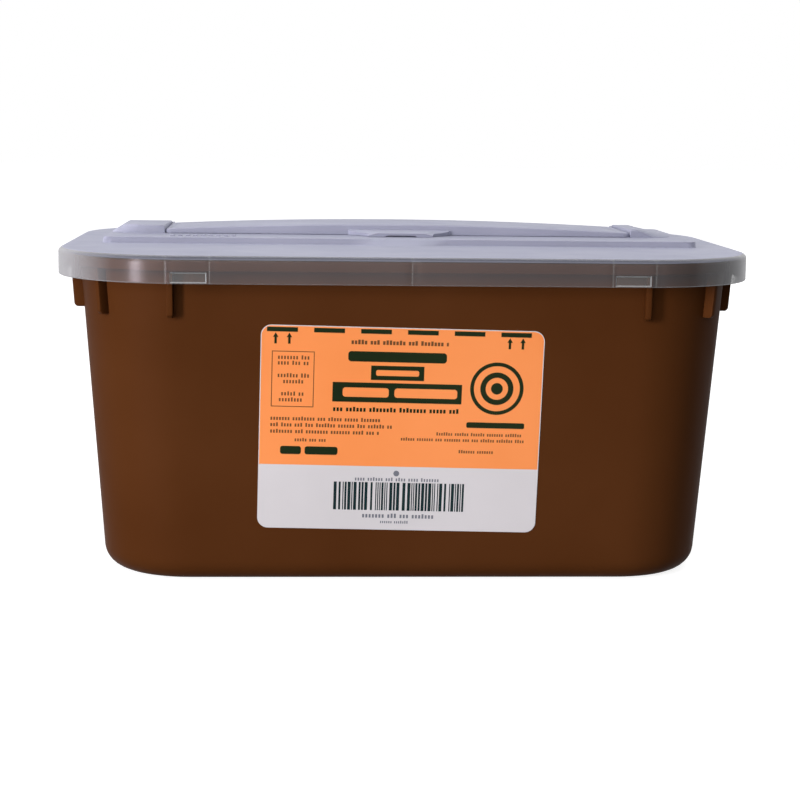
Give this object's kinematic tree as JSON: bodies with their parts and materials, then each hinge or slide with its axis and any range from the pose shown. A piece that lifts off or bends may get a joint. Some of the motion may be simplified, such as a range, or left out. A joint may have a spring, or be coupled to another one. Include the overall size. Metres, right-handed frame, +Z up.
{
  "type": "sharps container",
  "caption": "Tapered plastic tub with a clip-down lid, a hinged arched drop door over the opening, ribs under the rim and a printed front label without text.",
  "frame": {"origin": "centre of the container's footprint, on the surface it stands on", "axes": "+Z up; -Y out of the long side that carries the label; +X along the long side, to the right when facing the label"},
  "size_m": [0.266, 0.186, 0.1312],
  "materials": {
    "tub_plastic": "dark brown moulded polypropylene, soft sheen",
    "lid_plastic": "natural translucent polypropylene, milky with a soft sheen",
    "label_film": "printed film label, orange above and white below, plain bars in place of all text"
  },
  "bodies": {
    "tub": {"tub": "tub_plastic", "label_front": "label_film"},
    "lid": {"lid": "lid_plastic"},
    "door": {"door": "lid_plastic"}
  },
  "joints": [
    {"name": "lid_lift", "type": "slide", "parent": "tub", "child": "lid", "axis": [0, 0, 1], "range_m": [0, 0.06]},
    {"name": "door_hinge", "type": "hinge", "parent": "lid", "child": "door", "pos_m": [0, 0.041, 0.1282], "axis": [-1, 0, 0], "range_deg": [0, 105]}
  ]
}
